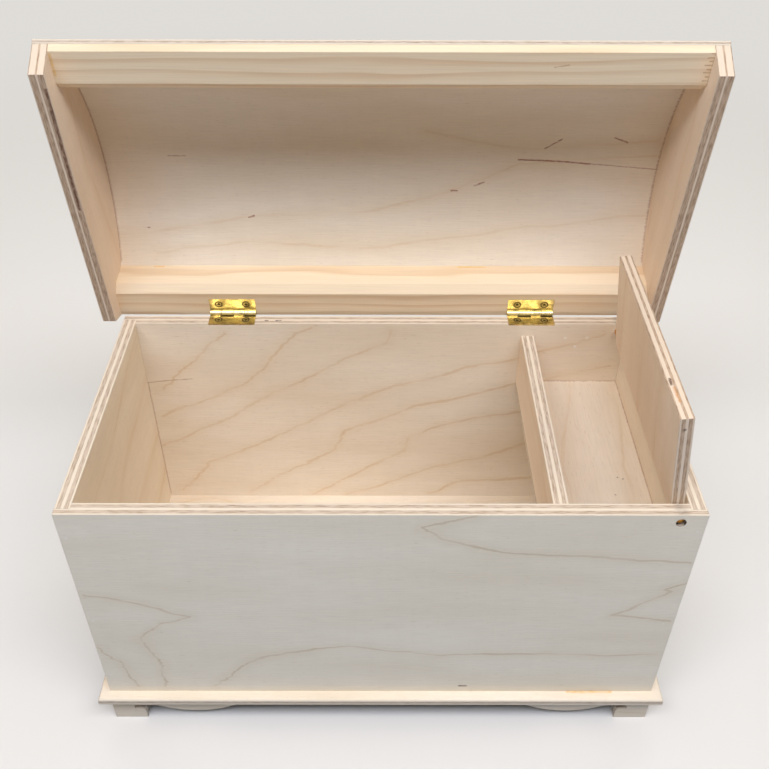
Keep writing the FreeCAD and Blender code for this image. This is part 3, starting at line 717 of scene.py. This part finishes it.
def backdrop_seen(tree):
    """1 for rays that show the backdrop: straight to the camera, in a reflection or through glass."""
    path = add(tree, "LightPath").outputs
    seen = add(tree, "Math", {0: path["Is Camera Ray"], 1: path["Is Glossy Ray"]}, operation="MAXIMUM")
    return add(tree, "Math", {0: seen, 1: path["Is Transmission Ray"]}, operation="MAXIMUM")


floor_mesh = bpy.data.meshes.new("floor")
corners = [(x * FLOOR_SIZE / 2, y * FLOOR_SIZE / 2, 0) for x, y in ((-1, -1), (1, -1), (1, 1), (-1, 1))]
floor_mesh.from_pydata(corners, [], [(0, 1, 2, 3)])
floor = bpy.data.objects.new("floor", floor_mesh)
bpy.context.scene.collection.objects.link(floor)
material, tree = new_material("matt_painted_floor")
place = add(tree, "TexCoord").outputs["Object"]
cloud = add(tree, "TexNoise", {"Vector": place, "Scale": FLOOR_CLOUDS, "Detail": 3})
colours = {"A": linear(FLOOR_PALE), "B": linear(FLOOR_DEEP)}
colour = add(tree, "Mix", {"Factor": cloud, **colours}, data_type="RGBA")
seen = backdrop_seen(tree)
colour = add(tree, "Mix", {"Factor": seen, "A": linear(FLOOR_BOUNCE), "B": colour}, data_type="RGBA")
paint = add(tree, "BsdfPrincipled", {"Base Color": colour, "Roughness": FLOOR_ROUGHNESS})
spoke = add(tree, "VectorMath", {0: place}, operation="LENGTH").outputs["Value"]
limits = {"From Min": FLOOR_FADE[0], "From Max": FLOOR_FADE[1], "To Max": seen}
faded = add(tree, "MapRange", {"Value": spoke, **limits}, interpolation_type="SMOOTHSTEP")
backdrop = add(tree, "Emission", {"Color": linear(FLOOR_PALE), "Strength": BACKDROP_LEVEL})
add(tree, "OutputMaterial", {"Surface": add(tree, "MixShader", {0: faded, 1: paint, 2: backdrop})})
floor_mesh.materials.append(material)

# A soft lamp high in front of the chest, a cool one a little lower, weak ones at its sides, one behind it
# and a weak light all round

SKY = "#EDE2D0"
SKY_STRENGTH = 0.08
LAMPS = {
    # name: degrees to the right round the chest and above the horizon, (across, upwards) in m, W, colour
    "high": (4, 64, (2.4, 0.5), 24.0, "#FFFAF1"),
    "window": (0, 61, (1.6, 0.4), 10.4, "#A5C4F8"),
    "right": (80, 45, (0.8, 0.8), 3.0, "#FFF1DE"),
    "left": (-80, 45, (0.8, 0.8), 3.0, "#FFF1DE"),
    "back": (180, 50, (2.0, 0.8), 10.0, "#FFFCF6"),
}
LAMP_DISTANCE = 1.6                      # m from the chest's middle

world = bpy.data.worlds.new("studio")
world.use_nodes = True
world.node_tree.nodes.clear()
tree = world.node_tree
light = add(tree, "Background", {"Color": linear(SKY), "Strength": SKY_STRENGTH})
shown = add(tree, "Background", {"Color": linear(FLOOR_PALE), "Strength": BACKDROP_LEVEL})
seen = backdrop_seen(tree)
add(tree, "OutputWorld", {"Surface": add(tree, "MixShader", {0: seen, 1: light, 2: shown})})
bpy.context.scene.world = world

middle = (Vector(CAD_BOX[0]) + Vector(CAD_BOX[1])) / 2
for name, (turn, height, size, power, colour) in LAMPS.items():
    lamp = bpy.data.lights.new(name, "AREA")
    lamp.shape = "RECTANGLE"
    lamp.size, lamp.size_y = size
    lamp.energy = power
    lamp.color = linear(colour)[:3]
    lamp_object = bpy.data.objects.new(name, lamp)
    aim = Matrix.Rotation(math.radians(turn), 4, "Z") @ Matrix.Rotation(math.radians(90 - height), 4, "X")
    lamp_object.matrix_world = Matrix.Translation(middle) @ aim @ Matrix.Translation((0, 0, LAMP_DISTANCE))
    bpy.context.scene.collection.objects.link(lamp_object)

# The camera, at the photograph's angle

camera = bpy.data.cameras.new("camera")
camera.sensor_width = SENSOR_WIDTH
camera.lens = FOCAL_PIXELS / PICTURE * SENSOR_WIDTH
camera.clip_start = NEAR_CLIP
camera_object = bpy.data.objects.new("camera", camera)
turn = Matrix.Rotation(-math.radians(CAMERA_YAW), 4, "Z")
turn = turn @ Matrix.Rotation(math.pi / 2 - math.radians(CAMERA_PITCH), 4, "X")
turn = turn @ Matrix.Rotation(math.radians(CAMERA_ROLL), 4, "Z")
camera_object.matrix_world = Matrix.Translation(Vector(CAMERA_PLACE) * MM) @ turn
bpy.context.scene.collection.objects.link(camera_object)
bpy.context.scene.camera = camera_object
bpy.context.scene.view_settings.view_transform = "Standard"
